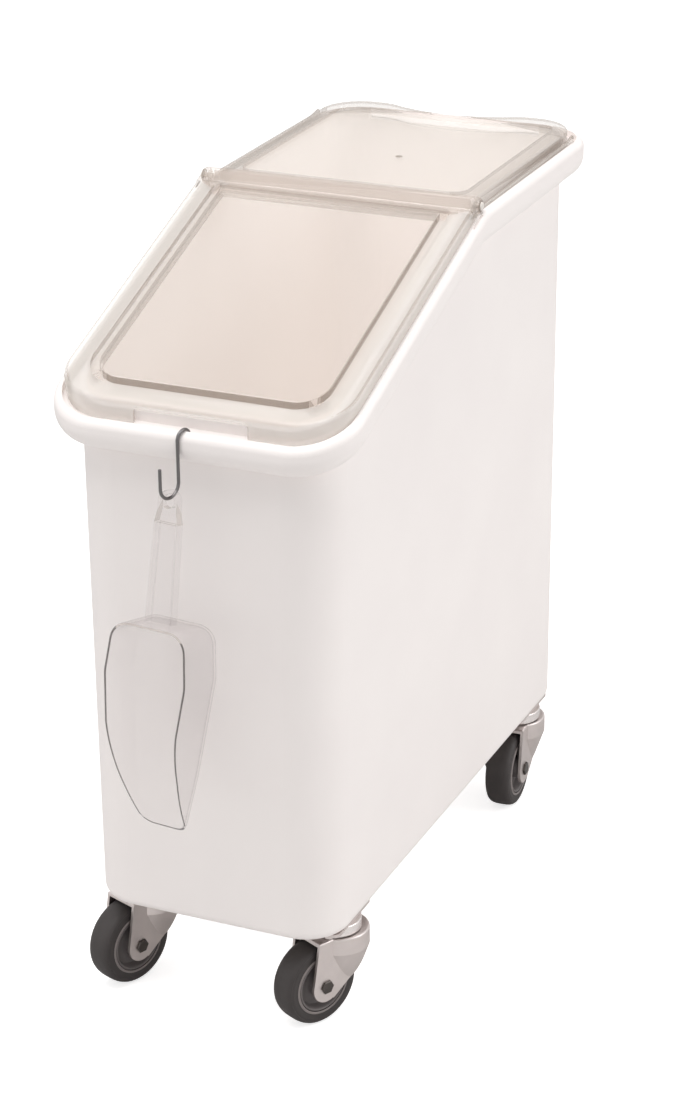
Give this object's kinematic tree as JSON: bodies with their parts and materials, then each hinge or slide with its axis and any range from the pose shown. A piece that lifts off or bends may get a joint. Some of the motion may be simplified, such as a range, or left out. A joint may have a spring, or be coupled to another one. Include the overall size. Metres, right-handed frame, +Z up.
{
  "type": "mobile ingredient bin",
  "caption": "Slant-topped storage bin on swivel casters, with a hinged clear front lid, a clear rear lid and a scoop on a wire hook.",
  "frame": {"origin": "middle of the bounding box's base, on the floor", "axes": "+Z up; +Y from the front, where the scoop hangs, to the back; +X across, to the right of someone who looks along +Y at the front"},
  "size_m": [0.312, 0.7784, 0.7726],
  "materials": {
    "tub": "satin white",
    "clear": "clear, polished",
    "pin": "smooth",
    "wire": "drawn wire",
    "zinc": "zinc plated",
    "bright": "bright",
    "fastener": "plated",
    "tyre": "matte",
    "core": "matte"
  },
  "bodies": {
    "bin": {"bin_body": "tub", "front_right_top_plate": "zinc", "front_right_upper_race": "bright", "front_right_kingpin": "zinc", "front_right_race_balls": "bright", "front_right_plate_bolts": "zinc", "front_right_floor_nuts": "zinc", "front_left_top_plate": "zinc", "front_left_upper_race": "bright", "front_left_kingpin": "zinc", "front_left_race_balls": "bright", "front_left_plate_bolts": "zinc", "front_left_floor_nuts": "zinc", "rear_right_top_plate": "zinc", "rear_right_upper_race": "bright", "rear_right_kingpin": "zinc", "rear_right_race_balls": "bright", "rear_right_plate_bolts": "zinc", "rear_right_floor_nuts": "zinc", "rear_left_top_plate": "zinc", "rear_left_upper_race": "bright", "rear_left_kingpin": "zinc", "rear_left_race_balls": "bright", "rear_left_plate_bolts": "zinc", "rear_left_floor_nuts": "zinc"},
    "rear_lid": {"rear_lid": "clear", "hinge_pin_right": "pin", "hinge_pin_left": "pin"},
    "front_lid": {"front_lid": "clear"},
    "hook": {"s_hook": "wire"},
    "scoop": {"scoop": "clear"},
    "front_right_swivel": {"front_right_fork": "zinc", "front_right_axle_bolt": "fastener", "front_right_axle_nut": "fastener", "front_right_axle_bush": "bright"},
    "front_right_wheel": {"front_right_tyre": "tyre", "front_right_wheel_core": "core"},
    "front_left_swivel": {"front_left_fork": "zinc", "front_left_axle_bolt": "fastener", "front_left_axle_nut": "fastener", "front_left_axle_bush": "bright"},
    "front_left_wheel": {"front_left_tyre": "tyre", "front_left_wheel_core": "core"},
    "rear_right_swivel": {"rear_right_fork": "zinc", "rear_right_axle_bolt": "fastener", "rear_right_axle_nut": "fastener", "rear_right_axle_bush": "bright"},
    "rear_right_wheel": {"rear_right_tyre": "tyre", "rear_right_wheel_core": "core"},
    "rear_left_swivel": {"rear_left_fork": "zinc", "rear_left_axle_bolt": "fastener", "rear_left_axle_nut": "fastener", "rear_left_axle_bush": "bright"},
    "rear_left_wheel": {"rear_left_tyre": "tyre", "rear_left_wheel_core": "core"}
  },
  "joints": [
    {"name": "rear_lid_lift", "type": "slide", "parent": "bin", "child": "rear_lid", "axis": [0, 0, 1], "range_m": [0, 0.15]},
    {"name": "front_lid_hinge", "type": "hinge", "parent": "rear_lid", "child": "front_lid", "pos_m": [0, 0.05616, 0.7645], "axis": [-1, 0, 0], "range_deg": [0, 120]},
    {"name": "hook_lift", "type": "slide", "parent": "bin", "child": "hook", "axis": [0, 0, 1], "range_m": [0, 0.03]},
    {"name": "scoop_swing", "type": "hinge", "parent": "hook", "child": "scoop", "pos_m": [-0.00674, -0.31981, 0.58804], "axis": [0.9659, -0.2588, 0], "range_deg": [-25, 0]},
    {"name": "front_right_swivel_turn", "type": "hinge", "parent": "bin", "child": "front_right_swivel", "pos_m": [0.104, -0.21034, 0.1], "axis": [0, 0, 1], "continuous": true},
    {"name": "front_right_wheel_spin", "type": "hinge", "parent": "front_right_swivel", "child": "front_right_wheel", "pos_m": [0.09195, -0.2345, 0.044], "axis": [0.8949, -0.4462, 0], "continuous": true},
    {"name": "front_left_swivel_turn", "type": "hinge", "parent": "bin", "child": "front_left_swivel", "pos_m": [-0.104, -0.21034, 0.1], "axis": [0, 0, 1], "continuous": true},
    {"name": "front_left_wheel_spin", "type": "hinge", "parent": "front_left_swivel", "child": "front_left_wheel", "pos_m": [-0.1139, -0.23546, 0.044], "axis": [0.9304, -0.3665, 0], "continuous": true},
    {"name": "rear_right_swivel_turn", "type": "hinge", "parent": "bin", "child": "rear_right_swivel", "pos_m": [0.104, 0.29966, 0.1], "axis": [0, 0, 1], "continuous": true},
    {"name": "rear_right_wheel_spin", "type": "hinge", "parent": "rear_right_swivel", "child": "rear_right_wheel", "pos_m": [0.10518, 0.27269, 0.044], "axis": [0.999, 0.0436, 0], "continuous": true},
    {"name": "rear_left_swivel_turn", "type": "hinge", "parent": "bin", "child": "rear_left_swivel", "pos_m": [-0.104, 0.29966, 0.1], "axis": [0, 0, 1], "continuous": true},
    {"name": "rear_left_wheel_spin", "type": "hinge", "parent": "rear_left_swivel", "child": "rear_left_wheel", "pos_m": [-0.10776, 0.27293, 0.044], "axis": [0.9903, -0.1392, 0], "continuous": true}
  ]
}
